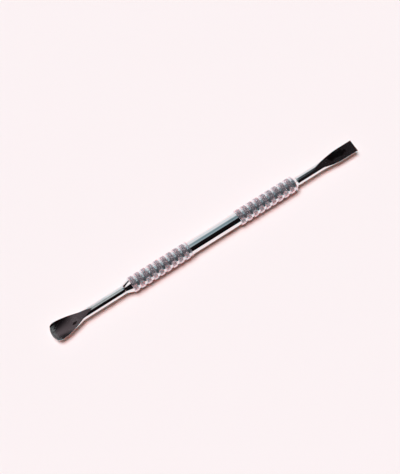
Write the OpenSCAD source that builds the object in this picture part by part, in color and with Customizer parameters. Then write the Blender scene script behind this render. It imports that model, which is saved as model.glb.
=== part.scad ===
// Double-ended cuticle pusher with a hollow handle.
// The tool lies on its two grips. X runs along the handle from the spoon (-X) to the blade (+X),
// Z is up out of the spoon's hollow face, and the origin is under the middle of the whole length.
// The spoon and the blade are each a stack of rings, and a function gives each ring's outline.

/* [Handle] */
// Length of the handle tube, which is both grips and the bare grip-free middle
tube_length = 70.1; // [64:0.1:76]
// Outer diameter of the handle tube
tube_d = 5.1; // [4.9:0.1:5.3]
// Inner diameter of the handle tube
tube_bore_d = 4; // [3.8:0.1:4.2]
// Length of each grip sleeve
grip_length = 24.6; // [20:0.1:28]
// Diameter over the rings of a grip sleeve
grip_d = 6; // [5.9:0.1:6.6]
// Number of rings on each grip sleeve
ring_count = 9; // [7:1:11]
// Width of the groove between two rings, at the crest
groove_width = 1; // [0.7:0.05:1.2]
// Depth of the groove between two rings
groove_depth = 0.3; // [0.2:0.02:0.32]

/* [Ferrules] */
// Length of the cone at the spoon end
spoon_cone_length = 2.8; // [2.2:0.1:3.6]
// Length of the cone at the blade end
blade_cone_length = 1.4; // [1:0.1:3]
// Diameter of each cone where it meets its grip
cone_d = 5.3; // [5.2:0.1:5.6]
// Length of each ferrule's spigot inside the tube
spigot_length = 12; // [8:0.5:16]
// Diameter of the round shanks of the spoon and of the blade
shank_d = 3.4; // [3:0.1:3.8]
// Diameter of the tail that each shank has inside its ferrule
tail_d = 2.2; // [1.8:0.1:2.6]

/* [Spoon end] */
// Distance from the handle tube to the tip of the spoon
spoon_reach = 32.5; // [30:0.1:36]
// Length of the stretch where the shank turns into the spoon
spoon_length = 16.5; // [15:0.5:19]
// Width across the spoon
spoon_width = 7.2; // [6.2:0.1:8]
// Thickness of the spoon at the middle of its tip
spoon_thickness = 0.3; // [0.25:0.05:0.8]
// Depth of the spoon's hollow, below its rim
spoon_hollow = 0.65; // [0.4:0.05:1]
// Height of the narrow land along the spoon's rim
spoon_rim = 0.1; // [0.1:0.05:0.3]
// Radius of the spoon's tip, seen from above
spoon_tip_radius = 5.6; // [4.4:0.1:8]

/* [Blade end] */
// Distance from the handle tube to the edge of the blade
blade_reach = 27.4; // [24:0.1:30]
// Length of the stretch where the shank turns into the blade
blade_length = 18; // [14:0.5:20]
// Width across the blade
blade_width = 4.9; // [4.2:0.1:5.6]
// Thickness of the blade where its flat faces become wide
blade_thickness = 0.6; // [0.5:0.05:1.3]
// Thickness of the blade at its edge
blade_edge = 0.3; // [0.25:0.05:0.5]

/* [Hidden] */

// Places along X, and the height of the handle's axis when the grips rest on a surface
tool_length = spoon_reach + tube_length + blade_reach;
spoon_tip_x = -tool_length / 2;
tube_start_x = spoon_tip_x + spoon_reach;
tube_end_x = tube_start_x + tube_length;
blade_edge_x = tool_length / 2;
axis_z = grip_d / 2;

// A shank's shoulder sits on its ferrule, with this small chamfer on each side of the joint
joint_chamfer = 0.12;
tail_length = spigot_length - 1;

// Run of a groove's wall along X, the bevel that leads onto the first ring,
// and the collar after the last groove with the bevel at its end
groove_wall = 0.15;
grip_lead = 0.15;
end_collar = 0.35;
collar_bevel = 0.12;
ring_pitch = (grip_length - grip_lead - end_collar) / ring_count;

ROUND_FN = 96;
RING_POINTS = 48;
SPOON_STATIONS = 44;
BLADE_STATIONS = 40;
CONE_STEPS = 12;
// How far each cone bulges, from 0 for straight sides to 1 for a quarter wave
cone_bulge = 0.15;
// How far each loft is sunk into its round shank, and how much thinner it is there
root_depth = 0.4;
root_gap = 0.01;
// How far up its first ring a loft's flat face lies, as a share of the ring's half height
root_cut = 0.99;

// Shares of the spoon's length where it starts to widen, where its face has come down to its rim,
// and where it starts to hollow out and is fully hollow
spoon_widen_share = 0.23;
spoon_fillet_share = 0.1;
spoon_face_share = 0.62;
spoon_hollow_share = 0.32;
spoon_bowl_share = 0.92;
// Share of the spoon's length where its rings start to bow into the round tip
spoon_bow_share = 0.3;
// How much the two corners of the spoon's tip are cut back, and how suddenly that starts
spoon_corner = 0.6;
spoon_corner_power = 40;
// How much closer together the spoon's rings are towards its tip, where 1 is evenly spaced
spoon_crowding = 1.5;
// Shares of the blade's length where it starts to widen, where it is fully wide,
// and where its two faces have come close together
blade_widen_share = 0.15;
blade_wide_share = 0.64;
blade_flat_share = 0.44;

function smooth(t) = let (u = min(1, max(0, t))) u * u * (3 - 2 * u);
function mix(a, b, t) = a + (b - a) * t;

// A body of revolution about the handle's axis, from a list of [x, radius]
module turned(profile) {
    translate([0, 0, axis_z])
        rotate([90, 0, 90])
            rotate_extrude($fn = ROUND_FN)
                polygon([for (p = profile) [p[1], p[0]]]);
}

// Triangles that close a ring, in strips across it. Point k and point size - k face each other.
function cap(first, size) = [
    for (k = [0:size / 2 - 1])
        let (
            a = first + k,
            b = first + k + 1,
            c = first + size - k - 1,
            d = first + size - k
        )
            each concat(k < size / 2 - 1 ? [[a, b, c]] : [], k > 0 ? [[a, c, d]] : [])
];

// A closed solid through a stack of rings, which run towards +X
module loft(rings) {
    size = RING_POINTS;
    last = (len(rings) - 1) * size;
    sides = [
        for (start = [0:size:last - size], j = [0:size - 1])
            let (a = start + j, b = start + (j + 1) % size)
                each [[a, a + size, b], [b, a + size, b + size]]
    ];
    end_cap = [for (t = cap(last, size)) [t[2], t[1], t[0]]];
    polyhedron(points = [for (ring = rings) each ring], faces = concat(cap(0, size), sides, end_cap));
}

// Thin-walled polished tube that holds the handle together
module handle_tube() {
    color("silver")
        turned([
            [tube_start_x, tube_bore_d / 2],
            [tube_end_x, tube_bore_d / 2],
            [tube_end_x, tube_d / 2],
            [tube_start_x, tube_d / 2]
        ]);
}

// Outline of one ring and the flat-bottomed groove after it
function ring_outline(start_x) =
    let (
        crest = grip_d / 2,
        groove_x = start_x + ring_pitch - groove_width
    )
    [
        [start_x, crest],
        [groove_x, crest],
        [groove_x + groove_wall, crest - groove_depth],
        [start_x + ring_pitch - groove_wall, crest - groove_depth]
    ];

// Sleeve pressed over the tube, turned into a row of rings with a narrow collar after the last groove
module grip_sleeve(start_x) {
    end_x = start_x + grip_length;
    crest = grip_d / 2;
    turned(concat(
        [[start_x, tube_d / 2], [start_x, crest - grip_lead]],
        [for (i = [0:ring_count - 1]) each ring_outline(start_x + grip_lead + i * ring_pitch)],
        [[end_x - end_collar, crest], [end_x - collar_bevel, crest]],
        [[end_x, crest - collar_bevel], [end_x, tube_d / 2]]
    ));
}

module spoon_grip_sleeve() {
    color("gainsboro") grip_sleeve(tube_start_x);
}

module blade_grip_sleeve() {
    color("gainsboro") grip_sleeve(tube_end_x - grip_length);
}

// End plug of the tube: a spigot inside the tube and a cone outside it, bored for a shank's tail.
// It is drawn pointing to -X, with the tube's end at x = 0.
function ferrule_outline(cone_length) = concat(
    [
        [spigot_length, tail_d / 2],
        [spigot_length, tube_bore_d / 2],
        [0, tube_bore_d / 2]
    ],
    [
        for (i = [0:CONE_STEPS])
            let (
                share = i / CONE_STEPS,
                narrowed = mix(share, sin(90 * share), cone_bulge)
            )
                [-(cone_length - joint_chamfer) * share, mix(cone_d, shank_d, narrowed) / 2]
    ],
    [
        [-cone_length, shank_d / 2 - joint_chamfer],
        [-cone_length, tail_d / 2]
    ]
);

module spoon_end_ferrule() {
    color("silver")
        turned([for (p = ferrule_outline(spoon_cone_length)) [tube_start_x + p[0], p[1]]]);
}

module blade_end_ferrule() {
    color("silver")
        turned([for (p = ferrule_outline(blade_cone_length)) [tube_end_x - p[0], p[1]]]);
}

// Round shank with its tail, which runs from the joint with the ferrule out to the shaped part.
// towards is 1 when that is towards +X and -1 when it is towards -X.
module shank(joint_x, shank_end_x, towards) {
    turned([
        [joint_x - towards * tail_length, 0],
        [joint_x - towards * tail_length, tail_d / 2],
        [joint_x, tail_d / 2],
        [joint_x, shank_d / 2 - joint_chamfer],
        [joint_x + towards * joint_chamfer, shank_d / 2],
        [shank_end_x, shank_d / 2],
        [shank_end_x, 0]
    ]);
}

// Spoon: share 0 is on the round shank and share 1 is at the tip. Each ring is an oval whose top
// is cut away by the hollow face, so the face runs out to a point on the shank.
function spoon_half_width(share) =
    let (
        along = max(0, share - spoon_widen_share) / (1 - spoon_widen_share),
        eased = along * along * (1 + spoon_fillet_share) / (along + spoon_fillet_share)
    )
    mix(shank_d / 2 - root_gap, spoon_width / 2, 1 - pow(1 - eased, 2));

function spoon_ring(share) =
    let (
        half_height = shank_d / 2 - root_gap,
        whole_width = spoon_half_width(share),
        half_width = whole_width - spoon_corner * pow(share, spoon_corner_power),
        hollowed = (share - spoon_hollow_share) / (spoon_bowl_share - spoon_hollow_share),
        hollow = spoon_hollow * smooth(hollowed),
        cut = mix(half_height * root_cut, spoon_rim, smooth(share / spoon_face_share)),
        keel = mix(half_height, spoon_hollow + spoon_thickness - spoon_rim, smooth(share)),
        bowed = smooth((share - spoon_bow_share) / (1 - spoon_bow_share)),
        corner_angle = asin(cut / half_height),
        side_steps = RING_POINTS / 24
    )
    [
        for (j = [0:RING_POINTS - 1])
            let (
                below = j > RING_POINTS / 2,
                from_side = min(j, RING_POINTS / 2 - j),
                angle = corner_angle * min(1, from_side / side_steps),
                inner = 1 - max(0, from_side - side_steps) / (RING_POINTS / 4 - side_steps),
                side = j > RING_POINTS / 4 ? -1 : 1,
                face_y = side * half_width * cos(angle) * inner,
                dip = hollow * (1 - pow(face_y / whole_width, 2)) * min(1, from_side / side_steps),
                y = below ? half_width * cos(360 * j / RING_POINTS) : face_y,
                hull = keel * sqrt(max(0, 1 - pow(y / whole_width, 2))),
                z = below ? -hull : half_height * sin(angle) - dip,
                bow = spoon_tip_radius - sqrt(pow(spoon_tip_radius, 2) - y * y)
            )
            [
                spoon_tip_x + spoon_length * (1 - share) + bow * bowed,
                y,
                axis_z + z
            ]
    ];

// Stations along the spoon, closer together towards its tip
function spoon_station(i) = 1 - pow(1 - i / SPOON_STATIONS, spoon_crowding);

module spoon_working_end() {
    neck_x = spoon_tip_x + spoon_length;
    color("silver") {
        shank(tube_start_x - spoon_cone_length, neck_x, -1);
        loft(concat(
            [for (i = [SPOON_STATIONS:-1:1]) spoon_ring(spoon_station(i))],
            [[for (p = spoon_ring(0)) p + [root_depth, 0, 0]]]
        ));
    }
}

// Blade: share 0 is on the round shank and share 1 is at the edge. Each ring is an oval
// cut flat above and below, so the flat faces run out to a point on the shank.
function blade_ring(share) =
    let (
        half_height = shank_d / 2 - root_gap,
        widened = smooth((share - blade_widen_share) / (blade_wide_share - blade_widen_share)),
        half_width = mix(half_height, blade_width / 2, widened),
        tapered = mix(blade_thickness, blade_edge, share) / 2,
        cut = mix(half_height * root_cut, tapered, smooth(share / blade_flat_share)),
        corner_angle = asin(cut / half_height),
        side_steps = RING_POINTS / 8,
        face_steps = RING_POINTS / 4
    )
    [
        for (j = [0:RING_POINTS - 1])
            let (
                below = j > RING_POINTS / 2,
                k = below ? RING_POINTS - j : j,
                from_side = min(k, RING_POINTS / 2 - k),
                angle = corner_angle * min(1, from_side / side_steps),
                flat_share = max(0, 1 - (from_side - side_steps) / face_steps * 2),
                y = half_width * cos(angle) * (from_side > side_steps ? flat_share : 1),
                z = half_height * sin(angle)
            )
            [
                blade_edge_x - blade_length * (1 - share),
                k > RING_POINTS / 4 ? -y : y,
                axis_z + (below ? -z : z)
            ]
    ];

module blade_working_end() {
    neck_x = blade_edge_x - blade_length;
    color("silver") {
        shank(tube_end_x + blade_cone_length, neck_x, 1);
        loft(concat(
            [[for (p = blade_ring(0)) p - [root_depth, 0, 0]]],
            [for (i = [1:BLADE_STATIONS]) blade_ring(i / BLADE_STATIONS)]
        ));
    }
}

handle_tube();
spoon_grip_sleeve();
blade_grip_sleeve();
spoon_end_ferrule();
blade_end_ferrule();
spoon_working_end();
blade_working_end();
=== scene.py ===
"""Cuticle pusher: the looks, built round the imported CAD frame. Metres, with +X along the handle."""
import math

import bpy
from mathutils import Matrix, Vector


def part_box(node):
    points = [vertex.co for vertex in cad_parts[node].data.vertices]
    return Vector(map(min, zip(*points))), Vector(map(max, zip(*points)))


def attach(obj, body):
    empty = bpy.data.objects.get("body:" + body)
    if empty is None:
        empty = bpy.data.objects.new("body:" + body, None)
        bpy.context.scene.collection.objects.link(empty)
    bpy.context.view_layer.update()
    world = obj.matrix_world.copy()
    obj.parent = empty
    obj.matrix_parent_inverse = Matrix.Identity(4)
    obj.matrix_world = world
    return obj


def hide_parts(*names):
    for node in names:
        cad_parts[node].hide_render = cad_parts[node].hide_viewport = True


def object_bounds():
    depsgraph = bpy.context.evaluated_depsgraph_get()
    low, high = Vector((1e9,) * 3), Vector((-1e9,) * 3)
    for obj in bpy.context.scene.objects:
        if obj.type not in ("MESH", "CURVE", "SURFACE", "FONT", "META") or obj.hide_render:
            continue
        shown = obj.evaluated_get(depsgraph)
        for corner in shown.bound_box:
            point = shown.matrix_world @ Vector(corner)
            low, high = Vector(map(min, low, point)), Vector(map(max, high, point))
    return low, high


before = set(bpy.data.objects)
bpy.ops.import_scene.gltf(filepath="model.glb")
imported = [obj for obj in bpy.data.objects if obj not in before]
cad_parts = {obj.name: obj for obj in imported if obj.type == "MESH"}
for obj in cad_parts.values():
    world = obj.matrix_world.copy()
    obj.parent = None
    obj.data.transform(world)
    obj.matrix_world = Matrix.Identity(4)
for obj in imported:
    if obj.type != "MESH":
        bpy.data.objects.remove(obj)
cad_low, cad_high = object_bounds()

MM = 0.001

# ---------------------------------------------------------------- places from the frame
tube_low, tube_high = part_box("handle_tube")
spoon_grip_low, spoon_grip_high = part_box("spoon_grip_sleeve")
blade_grip_low, blade_grip_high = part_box("blade_grip_sleeve")
spoon_plug_low, spoon_plug_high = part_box("spoon_end_ferrule")
blade_plug_low, blade_plug_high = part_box("blade_end_ferrule")
spoon_low, spoon_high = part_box("spoon_working_end")
blade_low, blade_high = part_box("blade_working_end")

AXIS_Z = (tube_low.z + tube_high.z) / 2
TUBE_RADIUS = (tube_high.z - tube_low.z) / 2
GRIP_RADIUS = (spoon_grip_high.z - spoon_grip_low.z) / 2
CONE_RADIUS = (spoon_plug_high.z - spoon_plug_low.z) / 2
SHANK_RADIUS = (blade_high.z - blade_low.z) / 2
GRIP_LENGTH = spoon_grip_high.x - spoon_grip_low.x
TUBE_BORE_RADIUS = 2.0 * MM
TAIL_RADIUS = 1.1 * MM

# ---------------------------------------------------------------- sizes of the fine detail
RING_COUNT = 9
GROOVE_WIDTH = 1.0 * MM
GROOVE_WALL = 0.15 * MM
GROOVE_DEPTH = 0.3 * MM
GRIP_LEAD = 0.15 * MM
END_COLLAR = 0.35 * MM
COLLAR_BEVEL = 0.12 * MM
JOINT_CHAMFER = 0.12 * MM
CONE_BULGE = 0.15
RING_PITCH = (GRIP_LENGTH - GRIP_LEAD - END_COLLAR) / RING_COUNT
# Diamonds of the knurl: how deep they are, and how many go round a ring and along it
KNURL_DEPTH = 0.1 * MM
KNURLS_AROUND = 28
KNURLS_ALONG = 2

# Mesh steps: points across one diamond of the knurl, rows over which the knurl fades out at each
# end of a ring, points round each turned piece and each loft, rings along the cones and lofts, and
# steps of a quarter turn that rounds an edge
KNURL_GRID = 10
KNURL_FADE_ROWS = 2
ROUND_SEGMENTS = 256
LOFT_SEGMENTS = 128
CONE_RINGS = 28
SHANK_RINGS = 24
SPOON_RINGS = 150
BLADE_RINGS = 110
EDGE_STEPS = 4
# Length of the round at the spoon's tip and at the blade's edge
EDGE_ROUND = 0.1 * MM

SPOON_LENGTH = 16.5 * MM
SPOON_WIDTH = 7.2 * MM
SPOON_THICKNESS = 0.3 * MM
SPOON_HOLLOW = 0.65 * MM
SPOON_RIM = 0.1 * MM
SPOON_TIP_RADIUS = 5.6 * MM
# How much the corners of the spoon's tip are cut back and how suddenly, how much closer together
# its rings are towards the tip, and how gently it starts to widen
SPOON_CORNER = 0.6 * MM
SPOON_CORNER_POWER = 40
SPOON_CROWDING = 1.5
SPOON_FILLET = 0.1
BLADE_LENGTH = 18 * MM
BLADE_WIDTH = 4.9 * MM
BLADE_THICKNESS = 0.6 * MM
BLADE_EDGE = 0.3 * MM
# How far up its first ring a loft's flat face lies, as a share of the shank's radius
ROOT_CUT = 0.999

# Shares of the spoon's length where it starts to widen, where its face has come down to its rim,
# where its hollow starts and is fully deep, and where its rings start to bow into the round tip
SPOON_WIDEN_SHARE = 0.23
SPOON_FACE_SHARE = 0.62
SPOON_HOLLOW_SHARE = 0.32
SPOON_BOWL_SHARE = 0.92
SPOON_BOW_SHARE = 0.3
# Shares of the blade's length where it starts to widen, where it is fully wide, and where its two
# faces have come close together
BLADE_WIDEN_SHARE = 0.15
BLADE_WIDE_SHARE = 0.64
BLADE_FLAT_SHARE = 0.44

# ---------------------------------------------------------------- colours and marks
STEEL = (0.92, 0.91, 0.92, 1.0)
# Centre and reach of the darker patch on each working end, as (x, y) pairs. On the blade the patch is
# a painted dark reflection.
SPOON_DARK_PATCH = ((spoon_low.x + 8.8 * MM, -0.9 * MM), (1.1 * MM, 0.4 * MM))
BLADE_PAINTED_DARK_REFLECTION = ((blade_high.x - 8.2 * MM, 0.5 * MM), (3.6 * MM, 1.4 * MM))
# The two key lights together are a cool white, which the warm floor turns nearly neutral. FILL
# lights what isn't a mirror from all round, and SEEN_FLOOR is what shows past the floor's edge.
WARM_KEY = (2.81, 1.2, 1.1)
COOL_KEY = (0.3, 2.72, 3.3)
FILL = (0.085, 0.035, 0.02, 1.0)
FLOOR = (0.93, 0.72, 0.66, 1.0)
SEEN_FLOOR = (0.974, 0.896, 0.905, 1.0)


def smooth(value):
    """Goes smoothly from 0 to 1 as value does."""
    value = min(1.0, max(0.0, value))
    return value * value * (3 - 2 * value)


def mix(low, high, share):
    return low + (high - low) * share


# ---------------------------------------------------------------- node helpers
class Graph:
    """Short calls that add nodes to one node tree."""

    def __init__(self, tree):
        self.tree = tree
        self.nodes = tree.nodes
        self.nodes.clear()

    def link(self, source, socket):
        self.tree.links.new(source, socket)

    def feed(self, socket, value):
        if isinstance(value, bpy.types.NodeSocket):
            self.link(value, socket)
        else:
            socket.default_value = value

    def math(self, operation, first, second=0.0, clamp=False):
        node = self.nodes.new("ShaderNodeMath")
        node.operation = operation
        node.use_clamp = clamp
        self.feed(node.inputs[0], first)
        self.feed(node.inputs[1], second)
        return node.outputs[0]

    def step(self, value, start, end, low=0.0, high=1.0):
        """Goes smoothly from low to high as value goes from start to end."""
        node = self.nodes.new("ShaderNodeMapRange")
        node.interpolation_type = "SMOOTHSTEP"
        self.feed(node.inputs["Value"], value)
        node.inputs["From Min"].default_value = start
        node.inputs["From Max"].default_value = end
        node.inputs["To Min"].default_value = low
        node.inputs["To Max"].default_value = high
        return node.outputs[0]

    def mix_colour(self, factor, first, second):
        node = self.nodes.new("ShaderNodeMix")
        node.data_type = "RGBA"
        self.feed(node.inputs["Factor"], factor)
        self.feed(node.inputs["A"], first)
        self.feed(node.inputs["B"], second)
        return node.outputs["Result"]

    def split(self, vector):
        node = self.nodes.new("ShaderNodeSeparateXYZ")
        self.link(vector, node.inputs[0])
        return node.outputs

    def coordinates(self, kind="Object"):
        return self.nodes.new("ShaderNodeTexCoord").outputs[kind]

    def noise(self, vector, scale, detail=4.0, roughness=0.55, stretch=(1, 1, 1)):
        mapping = self.nodes.new("ShaderNodeMapping")
        mapping.inputs["Scale"].default_value = stretch
        self.link(vector, mapping.inputs["Vector"])
        node = self.nodes.new("ShaderNodeTexNoise")
        node.inputs["Scale"].default_value = scale
        node.inputs["Detail"].default_value = detail
        node.inputs["Roughness"].default_value = roughness
        self.link(mapping.outputs[0], node.inputs["Vector"])
        return node.outputs["Fac"]

    def bump(self, height, strength, distance, normal=None):
        node = self.nodes.new("ShaderNodeBump")
        node.inputs["Strength"].default_value = strength
        node.inputs["Distance"].default_value = distance
        self.link(height, node.inputs["Height"])
        if normal:
            self.link(normal, node.inputs["Normal"])
        return node.outputs[0]


def new_material(name):
    """A material with one Principled shader: the material, its graph and the shader."""
    material = bpy.data.materials.new(name)
    material.use_nodes = True
    graph = Graph(material.node_tree)
    shader = graph.nodes.new("ShaderNodeBsdfPrincipled")
    output = graph.nodes.new("ShaderNodeOutputMaterial")
    graph.link(shader.outputs[0], output.inputs["Surface"])
    return material, graph, shader


def radius_from_axis(graph, place):
    """Distance from the handle's axis, as a socket."""
    _, y, z = graph.split(place)
    up = graph.math("SUBTRACT", z, AXIS_Z)
    squares = graph.math("ADD", graph.math("MULTIPLY", y, y), graph.math("MULTIPLY", up, up))
    return graph.math("SQRT", squares)


def dark_patch_share(graph, place, centre, reach):
    """Share of a ragged darker patch: 1 inside it and 0 outside. centre and reach are (x, y) pairs."""
    x, y, _ = graph.split(place)
    along = graph.math("DIVIDE", graph.math("SUBTRACT", x, centre[0]), reach[0])
    across = graph.math("DIVIDE", graph.math("SUBTRACT", y, centre[1]), reach[1])
    along_squared = graph.math("MULTIPLY", along, along)
    across_squared = graph.math("MULTIPLY", across, across)
    distance = graph.math("SQRT", graph.math("ADD", along_squared, across_squared))
    ragged = graph.math("MULTIPLY", graph.noise(place, 520, detail=3), 2.4)
    return graph.step(graph.math("ADD", distance, ragged), 2.25, 2.0)


def polished_steel(name, roughness, scratch_stretch, scratch_strength, dark_patch=None):
    """Bright polished steel with rubbed scratches, faint smears and perhaps one darker patch, which on
    the blade is a painted dark reflection.
    """
    smear_roughness = 0.05
    material, graph, shader = new_material(name)
    place = graph.coordinates()
    smears = graph.noise(place, 320, detail=3)
    haze = graph.noise(place, 1100, detail=5, roughness=0.7)
    scratches = graph.noise(place, 9000, detail=2, roughness=0.6, stretch=scratch_stretch)
    fine = graph.noise(place, 30000, detail=2, stretch=scratch_stretch)
    rough = graph.step(smears, 0.35, 0.75, roughness, roughness + smear_roughness)
    rough = graph.math("ADD", rough, graph.step(scratches, 0.58, 0.75, 0.0, 0.06))
    rough = graph.math("ADD", rough, graph.step(haze, 0.5, 0.8, 0.0, 0.03), clamp=True)
    dull = tuple(channel * 0.88 for channel in STEEL[:3]) + (1.0,)
    colour = graph.mix_colour(graph.step(smears, 0.45, 0.85), STEEL, dull)
    if dark_patch:
        # Darkens the colour in one ragged patch; on the blade this patch is a painted dark reflection.
        colour = graph.mix_colour(dark_patch_share(graph, place, *dark_patch), colour, (0.22, 0.2, 0.2, 1.0))
    graph.link(colour, shader.inputs["Base Color"])
    graph.link(rough, shader.inputs["Roughness"])
    shader.inputs["Metallic"].default_value = 1.0
    normal = graph.bump(scratches, scratch_strength, 0.02 * MM)
    graph.link(graph.bump(fine, scratch_strength * 0.5, 0.01 * MM, normal), shader.inputs["Normal"])
    return material


def knurled_steel():
    """Steel of the grips: bright tips, tinted pink as a painted reflection of the pink floor; duller
    valleys, where painted shade darkens and roughens the knurl in blotches low down; and smoother,
    untinted steel deep in the grooves between the rings.
    """
    material, graph, shader = new_material("knurled_steel")
    place = graph.coordinates()
    radius = radius_from_axis(graph, place)
    # Painted shade: blotches of darker, rougher colour low in the knurl's valleys, standing for the
    # shade in those recesses.
    low = graph.step(radius, GRIP_RADIUS - KNURL_DEPTH * 0.2, GRIP_RADIUS - KNURL_DEPTH * 0.9)
    painted_valley_shade = graph.math("MULTIPLY", low, graph.step(graph.noise(place, 700), 0.35, 0.7))
    grooved = graph.step(radius, GRIP_RADIUS - GROOVE_DEPTH * 0.5, GRIP_RADIUS - GROOVE_DEPTH * 0.85)
    # Steel colour with a pink tint that is a painted reflection of the pink floor in the knurl's
    # facets; the darker colour is the painted valley shade.
    steel = graph.mix_colour(painted_valley_shade, (0.95, 0.79, 0.83, 1.0), (0.6, 0.5, 0.53, 1.0))
    graph.link(graph.mix_colour(grooved, steel, (0.86, 0.86, 0.88, 1.0)), shader.inputs["Base Color"])
    worn = graph.step(graph.noise(place, 500), 0.3, 0.7, 0.17, 0.26)
    rough = graph.math("ADD", worn, graph.math("MULTIPLY", painted_valley_shade, 0.12))
    rough = graph.math("MULTIPLY", rough, graph.step(grooved, 0.0, 1.0, 1.0, 0.6))
    graph.link(rough, shader.inputs["Roughness"])
    shader.inputs["Metallic"].default_value = 0.92
    grain = graph.bump(graph.noise(place, 14000, detail=3), 0.25, 0.01 * MM)
    graph.link(grain, shader.inputs["Normal"])
    return material


# ---------------------------------------------------------------- mesh helpers
def make_piece(name, vertices, faces, material, node, sharp_degrees=32):
    """A smooth-shaded piece that stands for one CAD node, with creases at edges over sharp_degrees."""
    mesh = bpy.data.meshes.new(name)
    mesh.from_pydata([tuple(v) for v in vertices], [], faces)
    mesh.validate()
    mesh.shade_smooth()
    mesh.set_sharp_from_angle(angle=math.radians(sharp_degrees))
    mesh.materials.append(material)
    piece = bpy.data.objects.new(name, mesh)
    bpy.context.scene.collection.objects.link(piece)
    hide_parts(node)
    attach(piece, "root")
    return piece


def lathe(profile, segments=ROUND_SEGMENTS):
    """Vertices and faces of a closed body of revolution, from a closed list of (x, radius)."""
    vertices = []
    for x, radius in profile:
        for j in range(segments):
            angle = math.tau * j / segments
            vertices.append((x, radius * math.cos(angle), AXIS_Z + radius * math.sin(angle)))
    faces = []
    count = len(profile)
    for i in range(count):
        after = (i + 1) % count
        for j in range(segments):
            k = (j + 1) % segments
            a, b = i * segments + j, i * segments + k
            faces.append((a, b, after * segments + k, after * segments + j))
    return vertices, faces


def rounded(start, corner, end, radius, steps=5):
    """Points of a small round that replaces a corner between two straight stretches."""
    start, corner, end = Vector(start), Vector(corner), Vector(end)
    first = corner + (start - corner).normalized() * radius
    last = corner + (end - corner).normalized() * radius
    points = []
    for i in range(steps + 1):
        t = i / steps
        points.append(first * (1 - t) ** 2 + corner * 2 * t * (1 - t) + last * t ** 2)
    return [(p.x, p.y) for p in points]


def with_round_corners(outline, radius):
    """A closed outline with every corner rounded a little."""
    points = []
    for i, corner in enumerate(outline):
        points += rounded(outline[i - 1], corner, outline[(i + 1) % len(outline)], radius)
    return points


# ---------------------------------------------------------------- pieces
def handle_tube(material):
    """The tube with its bore, and a small round at each of its four edges."""
    outline = [
        (tube_low.x, TUBE_BORE_RADIUS),
        (tube_low.x, TUBE_RADIUS),
        (tube_high.x, TUBE_RADIUS),
        (tube_high.x, TUBE_BORE_RADIUS),
    ]
    vertices, faces = lathe(with_round_corners(outline, 0.05 * MM))
    return make_piece("polished_tube", vertices, faces, material, "handle_tube")


def grip_rows():
    """Rows of a grip's outline: distance along it, radius, share of the knurl's depth, knurl row.
    A plain row has share 0. Bevels and groove walls have an extra row that softens their corners."""
    crest = GRIP_RADIUS
    floor = crest - GROOVE_DEPTH
    rows = [
        (0.0, TUBE_RADIUS, 0.0, 0),
        (0.0, crest - GRIP_LEAD, 0.0, 0),
        (GRIP_LEAD * 0.4, crest - GRIP_LEAD * 0.45, 0.0, 0),
    ]
    steps = KNURLS_ALONG * KNURL_GRID
    land = RING_PITCH - GROOVE_WIDTH
    wall = [
        (GROOVE_WALL * 0.3, crest - GROOVE_DEPTH * 0.25),
        (GROOVE_WALL * 0.9, floor + GROOVE_DEPTH * 0.1),
        (GROOVE_WALL * 1.4, floor),
    ]
    for ring in range(RING_COUNT):
        start = GRIP_LEAD + ring * RING_PITCH
        for i in range(steps + 1):
            share = min(1.0, i / KNURL_FADE_ROWS, (steps - i) / KNURL_FADE_ROWS)
            rows.append((start + land * i / steps, crest, share, i))
        rows += [(start + land + run, radius, 0.0, 0) for run, radius in wall]
        rows += [(start + RING_PITCH - run, radius, 0.0, 0) for run, radius in reversed(wall)]
    rows.append((GRIP_LENGTH - END_COLLAR, crest, 0.0, 0))
    rows.append((GRIP_LENGTH - COLLAR_BEVEL, crest, 0.0, 0))
    rows.append((GRIP_LENGTH - COLLAR_BEVEL * 0.4, crest - COLLAR_BEVEL * 0.35, 0.0, 0))
    rows.append((GRIP_LENGTH, crest - COLLAR_BEVEL, 0.0, 0))
    rows.append((GRIP_LENGTH, TUBE_RADIUS, 0.0, 0))
    return rows


def knurl_height(u, v):
    """Height of the diamond knurl, from 0 in a valley to 1 on a flat tip, for places in knurl pitches.
    Its valleys lie where u + v or u - v is a whole number."""
    tip_start = 0.42
    from_sum_valley = abs((u + v + 0.5) % 1.0 - 0.5)
    from_difference_valley = abs((u - v + 0.5) % 1.0 - 0.5)
    return min(from_sum_valley, from_difference_valley, tip_start) / tip_start


def grip_sleeve(name, low_x, material, node):
    """A sleeve of knurled rings as one closed mesh. Each square of its grid is cut along the diagonal
    that runs with the nearest valley of the knurl."""
    segments = KNURLS_AROUND * KNURL_GRID
    rows = grip_rows()
    vertices = []
    for along, radius, share, index in rows:
        for j in range(segments):
            height = knurl_height(j / KNURL_GRID, index / KNURL_GRID)
            r = radius - KNURL_DEPTH * (1 - height) * share
            angle = math.tau * j / segments
            vertices.append((low_x + along, r * math.cos(angle), AXIS_Z + r * math.sin(angle)))
    faces = []
    count = len(rows)
    for i in range(count):
        after = (i + 1) % count
        index = rows[i][3]
        for j in range(segments):
            k = (j + 1) % segments
            a, b = i * segments + j, i * segments + k
            c, d = after * segments + k, after * segments + j
            if rows[i][2] == 0.0 and rows[after][2] == 0.0:
                faces.append((a, b, c, d))
                continue
            from_sum_valley = abs(((j + index + 1) / KNURL_GRID + 0.5) % 1.0 - 0.5)
            from_difference_valley = abs(((j - index) / KNURL_GRID + 0.5) % 1.0 - 0.5)
            if from_sum_valley <= from_difference_valley:
                faces += [(a, b, d), (b, c, d)]
            else:
                faces += [(a, b, c), (a, c, d)]
    return make_piece(name, vertices, faces, material, node, sharp_degrees=14)


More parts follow.
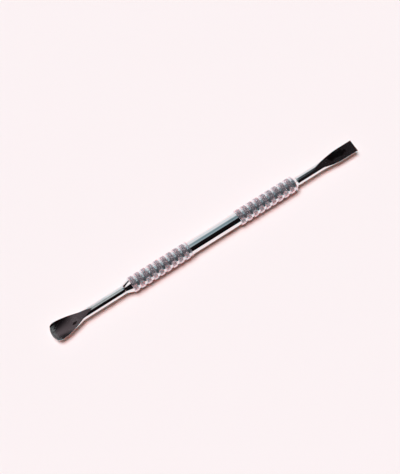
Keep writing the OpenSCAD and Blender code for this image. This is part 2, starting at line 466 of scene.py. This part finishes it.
def ferrule(name, tube_end_x, towards, cone_end_x, spigot_end_x, material, node):
    """Cone and spigot of one ferrule. towards is the direction that the cone points along X."""
    length = abs(cone_end_x - tube_end_x) - JOINT_CHAMFER
    outline = [
        (spigot_end_x, TAIL_RADIUS),
        (spigot_end_x, TUBE_BORE_RADIUS),
        (tube_end_x, TUBE_BORE_RADIUS),
    ]
    for i in range(CONE_RINGS + 1):
        share = i / CONE_RINGS
        narrowed = mix(share, math.sin(math.pi / 2 * share), CONE_BULGE)
        radius = mix(CONE_RADIUS, SHANK_RADIUS, narrowed)
        outline.append((tube_end_x + towards * length * share, radius))
    outline.append((cone_end_x, SHANK_RADIUS - JOINT_CHAMFER))
    outline.append((cone_end_x, TAIL_RADIUS))
    vertices, faces = lathe(outline)
    return make_piece(name, vertices, faces, material, node, sharp_degrees=24)


def loft_faces(ring_count, size):
    """Faces of a closed loft through ring_count rings of size points each."""
    faces = [tuple(range(size))]
    for i in range(ring_count - 1):
        for j in range(size):
            k = (j + 1) % size
            faces.append((i * size + j, (i + 1) * size + j, (i + 1) * size + k, i * size + k))
    faces.append(tuple((ring_count - 1) * size + j for j in reversed(range(size))))
    return faces


def round_ring(x, radius):
    """A round ring of a loft, about the handle's axis."""
    ring = []
    for j in range(LOFT_SEGMENTS):
        angle = math.tau * j / LOFT_SEGMENTS
        ring.append((x, radius * math.cos(angle), AXIS_Z + radius * math.sin(angle)))
    return ring


def edge_turns():
    """The angles of a quarter turn that rounds an edge, without its start."""
    return [math.radians(90 * i / EDGE_STEPS) for i in range(1, EDGE_STEPS + 1)]


def shank_rings(joint_x, tail_end_x, neck_x, towards):
    """Round rings from the end of the tail to where the shaped part starts."""
    rings = [
        round_ring(tail_end_x, TAIL_RADIUS * 0.9),
        round_ring(tail_end_x + towards * 0.1 * MM, TAIL_RADIUS),
        round_ring(joint_x - towards * 0.02 * MM, TAIL_RADIUS),
        round_ring(joint_x, TAIL_RADIUS * 1.02),
        round_ring(joint_x, SHANK_RADIUS - JOINT_CHAMFER),
    ]
    for turn in edge_turns():
        x = joint_x + towards * JOINT_CHAMFER * (1 - math.cos(turn))
        rings.append(round_ring(x, SHANK_RADIUS - JOINT_CHAMFER * (1 - math.sin(turn))))
    first_x = joint_x + towards * JOINT_CHAMFER
    for i in range(1, SHANK_RINGS + 1):
        rings.append(round_ring(mix(first_x, neck_x, i / SHANK_RINGS), SHANK_RADIUS))
    return rings


def share_on_side(corner, half_width):
    """Share of a quarter ring's points that lie on its rounded side. The rest are on its flat face."""
    least_share = 0.125
    side = corner * SHANK_RADIUS
    return max(least_share, side / (side + half_width * math.cos(corner)))


def spoon_ring(share, thinned=0.0):
    """One ring of the spoon, share 0 at the shank and share 1 at the tip. Its top is cut away by the
    hollow face. thinned draws the ring in towards its own middle, to round the edge at the tip."""
    along = max(0.0, share - SPOON_WIDEN_SHARE) / (1 - SPOON_WIDEN_SHARE)
    eased = along * along * (1 + SPOON_FILLET) / (along + SPOON_FILLET)
    whole_width = mix(SHANK_RADIUS, SPOON_WIDTH / 2, 1 - (1 - eased) ** 2)
    half_width = whole_width - SPOON_CORNER * share ** SPOON_CORNER_POWER
    hollowed = (share - SPOON_HOLLOW_SHARE) / (SPOON_BOWL_SHARE - SPOON_HOLLOW_SHARE)
    hollow = SPOON_HOLLOW * smooth(hollowed)
    cut = mix(SHANK_RADIUS * ROOT_CUT, SPOON_RIM, smooth(share / SPOON_FACE_SHARE))
    keel = mix(SHANK_RADIUS, SPOON_HOLLOW + SPOON_THICKNESS - SPOON_RIM, smooth(share))
    bowed = smooth((share - SPOON_BOW_SHARE) / (1 - SPOON_BOW_SHARE))
    corner = math.asin(cut / SHANK_RADIUS)
    side_share = share_on_side(corner, half_width)
    quarter = LOFT_SEGMENTS // 4
    ring = []
    for j in range(LOFT_SEGMENTS):
        if j > 2 * quarter:
            y = half_width * math.cos(math.tau * j / LOFT_SEGMENTS)
            z = -keel * math.sqrt(1 - (y / whole_width) ** 2)
        else:
            place = min(j, 2 * quarter - j) / quarter
            on_side = min(1.0, place / side_share)
            inner = 1 - max(0.0, place - side_share) / (1 - side_share)
            y = math.copysign(half_width * math.cos(corner * on_side) * inner, quarter - j)
            dip = hollow * (1 - (y / whole_width) ** 2) * on_side
            z = SHANK_RADIUS * math.sin(corner * on_side) - dip
        inward = max(0.0, 1 - (y / whole_width) ** 2)
        middle = (cut - hollow * inward - keel * math.sqrt(inward)) / 2
        bow = SPOON_TIP_RADIUS - math.sqrt(SPOON_TIP_RADIUS ** 2 - y * y)
        x = spoon_low.x + SPOON_LENGTH * (1 - share) + bow * bowed
        ring.append((x, y * (1 - thinned * 0.02), AXIS_Z + mix(z, middle, thinned)))
    return ring


def spoon_working_end(material):
    """Tail, shank and spoon as one closed mesh. Its rings are closer together towards the tip."""
    joint_x = spoon_plug_low.x
    neck_x = spoon_low.x + SPOON_LENGTH
    rings = shank_rings(joint_x, spoon_high.x, neck_x, -1)
    last_share = 1 - EDGE_ROUND / SPOON_LENGTH
    for i in range(1, SPOON_RINGS + 1):
        rings.append(spoon_ring(last_share * (1 - (1 - i / SPOON_RINGS) ** SPOON_CROWDING)))
    thinned_at_tip = 0.8
    for turn in edge_turns():
        share = last_share + (1 - last_share) * math.sin(turn)
        rings.append(spoon_ring(share, (1 - math.cos(turn)) * thinned_at_tip))
    vertices = [v for ring in rings for v in ring]
    faces = loft_faces(len(rings), LOFT_SEGMENTS)
    return make_piece("spoon_pusher", vertices, faces, material, "spoon_working_end")


def blade_ring(share, inset=0.0):
    """One ring of the blade, share 0 at the shank and share 1 at the edge: an oval, cut flat
    above and below. inset rounds the edge."""
    widened = smooth((share - BLADE_WIDEN_SHARE) / (BLADE_WIDE_SHARE - BLADE_WIDEN_SHARE))
    half_width = mix(SHANK_RADIUS, BLADE_WIDTH / 2, widened)
    tapered = mix(BLADE_THICKNESS, BLADE_EDGE, share) / 2
    cut = mix(SHANK_RADIUS * ROOT_CUT, tapered, smooth(share / BLADE_FLAT_SHARE))
    corner = math.asin(cut / SHANK_RADIUS)
    side_share = share_on_side(corner, half_width)
    quarter = LOFT_SEGMENTS // 4
    ring = []
    for j in range(LOFT_SEGMENTS):
        below = j > 2 * quarter
        k = LOFT_SEGMENTS - j if below else j
        place = min(k, 2 * quarter - k) / quarter
        angle = corner * min(1.0, place / side_share)
        inner = 1 - max(0.0, place - side_share) / (1 - side_share)
        y = max(0.0, half_width * math.cos(angle) * inner - inset)
        z = max(0.0, SHANK_RADIUS * math.sin(angle) - inset)
        ring.append((
            blade_high.x - BLADE_LENGTH * (1 - share),
            math.copysign(y, quarter - k),
            AXIS_Z + (-z if below else z),
        ))
    return ring


def blade_working_end(material):
    """Tail, shank and blade as one closed mesh."""
    joint_x = blade_plug_high.x
    neck_x = blade_high.x - BLADE_LENGTH
    rings = shank_rings(joint_x, blade_low.x, neck_x, 1)
    last_share = 1 - EDGE_ROUND / BLADE_LENGTH
    rings += [blade_ring(last_share * i / BLADE_RINGS) for i in range(1, BLADE_RINGS + 1)]
    most_inset = EDGE_ROUND * 0.98
    for turn in edge_turns():
        share = last_share + (1 - last_share) * math.sin(turn)
        rings.append(blade_ring(share, most_inset * (1 - math.cos(turn))))
    rings.reverse()
    vertices = [v for ring in rings for v in ring]
    faces = loft_faces(len(rings), LOFT_SEGMENTS)
    return make_piece("chisel_blade", vertices, faces, material, "blade_working_end")


# ---------------------------------------------------------------- stage, light and camera
def plain_floor():
    """A large pale floor, a hair below the grips so that nothing lies in its plane."""
    half = 6.0
    gap = 0.02 * MM
    mesh = bpy.data.meshes.new("floor")
    corners = [(-half, -half, 0), (half, -half, 0), (half, half, 0), (-half, half, 0)]
    mesh.from_pydata(corners, [], [(0, 1, 2, 3)])
    floor = bpy.data.objects.new("floor", mesh)
    bpy.context.scene.collection.objects.link(floor)
    floor.location.z = cad_low.z - gap
    material, _, shader = new_material("pale_floor")
    shader.inputs["Base Color"].default_value = FLOOR
    shader.inputs["Roughness"].default_value = 0.9
    shader.inputs["Specular IOR Level"].default_value = 0.0
    mesh.materials.append(material)


def studio_world():
    """What the polished metal mirrors, told apart by the direction's X part and its turn about X:
    a window towards +Y and two strips overhead, all on the +X side, a grey glow overhead on the rest,
    a bright patch beyond the spoon, a bright horizon, and dark elsewhere.
    turn is 0 straight up and grows towards +Y. Everything that isn't a mirror is lit by the two key
    lights and by an even fill."""
    world = bpy.data.worlds.new("studio")
    bpy.context.scene.world = world
    world.use_nodes = True
    graph = Graph(world.node_tree)
    direction = graph.coordinates("Generated")
    x, y, z = graph.split(direction)
    turn = graph.math("ARCTAN2", y, z)
    degree = math.pi / 180
    ahead = graph.step(x, 0.045, 0.075)
    window = graph.math("MULTIPLY", graph.step(turn, 28 * degree, 52 * degree), ahead)
    beyond = graph.math("MULTIPLY", graph.step(x, -0.445, -0.485), graph.step(x, -0.68, -0.6))
    beyond = graph.math("MULTIPLY", beyond, graph.step(turn, 6 * degree, 16 * degree))
    horizon = graph.step(z, 0.09, 0.0)
    bright = graph.math("MAXIMUM", beyond, horizon)
    in_strip = graph.math("MULTIPLY", ahead, graph.step(x, 0.29, 0.255))
    teal = graph.math("MULTIPLY", graph.step(turn, 6 * degree, 10 * degree), in_strip)
    blue = graph.math("MULTIPLY", graph.step(turn, -15 * degree, -9 * degree), in_strip)
    blue = graph.math("MULTIPLY", blue, graph.step(turn, 10 * degree, 6 * degree))
    grey = graph.math(
        "MULTIPLY",
        graph.step(turn, -4 * degree, 27 * degree),
        graph.step(turn, 45 * degree, 29 * degree, 0.15, 1.0),
    )
    grey = graph.math("MULTIPLY", grey, graph.step(x, 0.06, 0.03))
    blotch = graph.step(graph.noise(direction, 5.0, detail=3), 0.4, 0.62)
    colour = graph.mix_colour(blotch, (0.002, 0.001, 0.0015, 1.0), (0.008, 0.006, 0.007, 1.0))
    colour = graph.mix_colour(graph.step(x, 0.28, 0.31), colour, (0.0155, 0.011, 0.0125, 1.0))
    colour = graph.mix_colour(grey, colour, (0.1, 0.08, 0.086, 1.0))
    near = graph.step(x, 0.16, 0.11)
    teal_colour = graph.mix_colour(near, (0.2, 0.29, 0.32, 1.0), (0.38, 0.43, 0.43, 1.0))
    blue_colour = graph.mix_colour(near, (0.3, 0.38, 0.42, 1.0), (0.58, 0.62, 0.62, 1.0))
    colour = graph.mix_colour(teal, colour, teal_colour)
    colour = graph.mix_colour(blue, colour, blue_colour)
    colour = graph.mix_colour(window, colour, (0.76, 0.77, 0.785, 1.0))
    colour = graph.mix_colour(bright, colour, (1.0, 0.95, 0.96, 1.0))
    path = graph.nodes.new("ShaderNodeLightPath")
    not_diffused = graph.math("SUBTRACT", 1.0, path.outputs["Diffuse Depth"], clamp=True)
    mirrored = graph.math("MULTIPLY", path.outputs["Is Glossy Ray"], not_diffused)
    colour = graph.mix_colour(mirrored, FILL, colour)
    colour = graph.mix_colour(path.outputs["Is Camera Ray"], colour, SEEN_FLOOR)
    background = graph.nodes.new("ShaderNodeBackground")
    graph.link(colour, background.inputs["Color"])
    output = graph.nodes.new("ShaderNodeOutputWorld")
    graph.link(background.outputs[0], output.inputs["Surface"])


def key_light(name, colour, towards, spread):
    """Soft light from overhead, spread degrees across. Mirrors don't see it, because the world already
    holds what they show."""
    light = bpy.data.lights.new(name, "SUN")
    light.energy = 1.0
    light.angle = math.radians(spread)
    light.color = colour
    lamp = bpy.data.objects.new(name, light)
    bpy.context.scene.collection.objects.link(lamp)
    lamp.rotation_mode = "QUATERNION"
    lamp.rotation_quaternion = Vector(towards).to_track_quat("Z", "Y")
    lamp.visible_glossy = False


def camera():
    """Seen from above and a little from one side, with the handle rising to the right."""
    elevation = math.radians(70)
    handle_turn = math.radians(33.65)
    distance = 400 * MM
    left_of_middle, above_middle = 2.7 * MM, 0.1 * MM
    right = Vector((math.cos(handle_turn), -math.sin(handle_turn), 0))
    ahead = Vector((math.sin(handle_turn), math.cos(handle_turn), 0))
    back = -math.cos(elevation) * ahead + math.sin(elevation) * Vector((0, 0, 1))
    up = back.cross(right)
    data = bpy.data.cameras.new("camera")
    data.sensor_width = 36
    data.lens = 84.91
    data.clip_start, data.clip_end = 0.01, 50
    eye = bpy.data.objects.new("camera", data)
    bpy.context.scene.collection.objects.link(eye)
    middle = Vector(((cad_low.x + cad_high.x) / 2, 0, AXIS_Z))
    eye.location = middle - right * left_of_middle + up * above_middle + back * distance
    eye.rotation_mode = "QUATERNION"
    eye.rotation_quaternion = back.to_track_quat("Z", "Y")
    bpy.context.scene.camera = eye


bpy.context.scene.view_settings.view_transform = "Standard"
plain_floor()
studio_world()
key_light("warm_key", WARM_KEY, (-0.15, 0.16, 1), 28)
key_light("cool_key", COOL_KEY, (-0.15, 0.24, 1), 34)
camera()

round_polish = polished_steel("polished_steel", 0.05, (1, 14, 14), 0.08)
spoon_polish = polished_steel("spoon_steel", 0.07, (1, 10, 10), 0.12, dark_patch=SPOON_DARK_PATCH)
# The blade's darker patch is a painted dark reflection on its face.
blade_polish = polished_steel("blade_steel", 0.07, (1, 10, 10), 0.12, dark_patch=BLADE_PAINTED_DARK_REFLECTION)
knurled = knurled_steel()
handle_tube(round_polish)
grip_sleeve("spoon_side_grip", spoon_grip_low.x, knurled, "spoon_grip_sleeve")
grip_sleeve("blade_side_grip", blade_grip_low.x, knurled, "blade_grip_sleeve")
ferrule(
    "spoon_side_cone", tube_low.x, -1, spoon_plug_low.x, spoon_plug_high.x, round_polish,
    "spoon_end_ferrule",
)
ferrule(
    "blade_side_cone", tube_high.x, 1, blade_plug_high.x, blade_plug_low.x, round_polish,
    "blade_end_ferrule",
)
spoon_working_end(spoon_polish)
blade_working_end(blade_polish)
